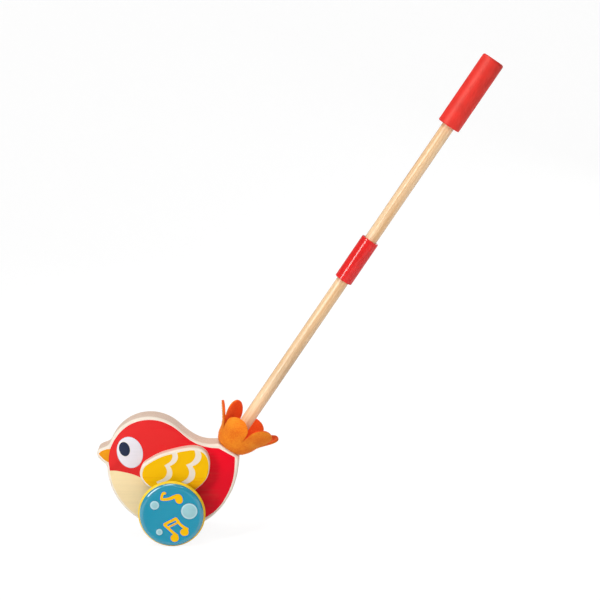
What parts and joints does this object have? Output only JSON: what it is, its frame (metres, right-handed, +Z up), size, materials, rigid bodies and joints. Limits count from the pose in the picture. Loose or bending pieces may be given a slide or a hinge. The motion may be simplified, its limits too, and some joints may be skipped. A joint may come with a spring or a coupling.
{
  "type": "push toy",
  "caption": "Push toy for a toddler: a painted wooden bird on two rubber-tyred wheels, with a felt tail, a clicking axle and a long dowel handle in two lengths with a plastic grip.",
  "frame": {"origin": "on the floor below the middle of the toy's bounding box", "axes": "-X the way the bird faces, +Y the bird's right side, along the axle, +Z up"},
  "size_m": [0.4558, 0.092, 0.5544],
  "materials": {
    "body_board": "bare plywood edge, sanded",
    "body_paint": "red, cream and orange water paint on pale wood, satin",
    "wing_paint": "yellow water paint with bare cream stripes and border, satin",
    "wood_pin": "bare turned wood",
    "handle_wood": "bare pale dowel under a clear satin lacquer",
    "steel": "plain drawn steel",
    "wheel_paint": "blue water paint on wood, satin",
    "tyre_rubber": "moulded yellow rubber, matt",
    "pale_plastic": "moulded, matt",
    "collar_plastic": "moulded red plastic, glossy",
    "grip_plastic": "moulded red plastic, satin",
    "outer_felt": "orange wool felt",
    "inner_felt": "red-orange wool felt"
  },
  "bodies": {
    "bird": {"core_board": "body_board", "right_face_board": "body_paint", "left_face_board": "body_paint", "right_wing": "wing_paint", "left_wing": "wing_paint", "left_wing_front_dowel": "wood_pin", "left_wing_rear_dowel": "wood_pin", "right_wing_front_dowel": "wood_pin", "right_wing_rear_dowel": "wood_pin", "lower_dowel": "handle_wood", "reed_pin": "steel", "left_bush": "pale_plastic", "right_bush": "pale_plastic", "click_reed": "pale_plastic", "collar": "collar_plastic", "tail_felt_outer": "outer_felt", "tail_felt_inner": "inner_felt"},
    "wheels": {"axle": "steel", "left_wheel": "wheel_paint", "left_tyre": "tyre_rubber", "left_spacer": "pale_plastic", "right_wheel": "wheel_paint", "right_tyre": "tyre_rubber", "right_spacer": "pale_plastic", "click_wheel": "pale_plastic"},
    "handle_end": {"upper_dowel": "handle_wood", "grip": "grip_plastic"}
  },
  "joints": [
    {"name": "wheel_spin", "type": "hinge", "parent": "bird", "child": "wheels", "pos_m": [-0.14116, 0, 0.0382], "axis": [0, 1, 0], "continuous": true, "deforming": ["click_reed"]},
    {"name": "handle_pull_off", "type": "slide", "parent": "bird", "child": "handle_end", "axis": [0.5556, 0, 0.8315], "range_m": [0, 0.03]}
  ]
}
